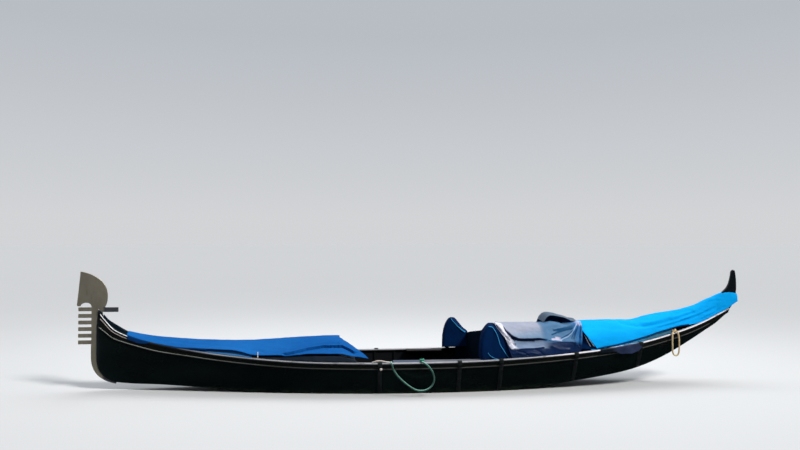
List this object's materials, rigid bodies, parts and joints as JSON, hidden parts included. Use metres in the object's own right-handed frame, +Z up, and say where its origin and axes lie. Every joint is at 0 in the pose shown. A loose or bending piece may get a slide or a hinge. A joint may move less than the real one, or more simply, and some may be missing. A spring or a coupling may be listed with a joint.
{
  "type": "gondola boat",
  "caption": "Long black rowing boat with a toothed iron at the bow, a raised stern horn, gunwales and fender straps, laid up afloat under canvas covers.",
  "frame": {"origin": "on the waterline amidships, in the plane of the stem and stern posts", "axes": "+X towards the bow along the hull, +Y to port, +Z up"},
  "size_m": [10.8326, 1.4971, 1.9907],
  "materials": {
    "lacquer": "gloss black lacquer",
    "worn_rail": "black lacquer worn to a pale lavender grey",
    "dark_wood": "satin dark paint",
    "bow_metal": "brushed, weathered to an olive grey",
    "strap_rubber": "matt, grey green",
    "blue_canvas": "waxed canvas, mid blue",
    "navy_canvas": "matt canvas, navy",
    "coated_cloth": "glossy coated cloth, slate navy",
    "cyan_canvas": "waxed canvas, bright blue",
    "green_rope": "laid rope, sea green",
    "tan_rope": "laid rope, tan"
  },
  "bodies": {
    "root": {"bottom_planking_aft": "lacquer", "bottom_planking_middle": "lacquer", "bottom_planking_fore": "lacquer", "side_planking_port_aft": "lacquer", "side_planking_port_middle": "lacquer", "side_planking_port_fore": "lacquer", "side_planking_starboard_aft": "lacquer", "side_planking_starboard_middle": "lacquer", "side_planking_starboard_fore": "lacquer", "stem_post": "lacquer", "stern_post": "lacquer", "bow_deck": "lacquer", "stern_deck": "lacquer", "side_board_port": "lacquer", "side_board_starboard": "lacquer", "gunwale_port": "worn_rail", "gunwale_starboard": "worn_rail", "rub_strip_port": "worn_rail", "rub_strip_starboard": "worn_rail", "bow_deck_beam": "dark_wood", "stern_deck_beam": "dark_wood", "thwart": "dark_wood", "floor_timbers_aft": "dark_wood", "floor_timbers_fore": "dark_wood", "ribs_port_aft": "dark_wood", "ribs_port_fore": "dark_wood", "ribs_starboard_aft": "dark_wood", "ribs_starboard_fore": "dark_wood", "floorboards_aft": "dark_wood", "floorboards_middle": "dark_wood", "floorboards_fore": "dark_wood", "bow_iron": "bow_metal", "fender_strap_port_1": "strap_rubber", "fender_strap_port_2": "strap_rubber", "fender_strap_port_3": "strap_rubber", "fender_strap_port_4": "strap_rubber", "fender_strap_port_5": "strap_rubber", "fender_strap_starboard_1": "strap_rubber", "fender_strap_starboard_2": "strap_rubber", "fender_strap_starboard_3": "strap_rubber", "fender_strap_starboard_4": "strap_rubber", "fender_strap_starboard_5": "strap_rubber", "bow_cover": "blue_canvas", "chair_cover": "navy_canvas", "seat_back_cover": "navy_canvas", "inner_cover": "coated_cloth", "seat_cover": "coated_cloth", "stern_cover": "cyan_canvas", "mooring_loop": "green_rope", "rope_turns_aft": "green_rope", "rope_turns_fore": "tan_rope", "rope_turns_stern": "tan_rope", "stern_loop": "tan_rope"}
  },
  "joints": []
}
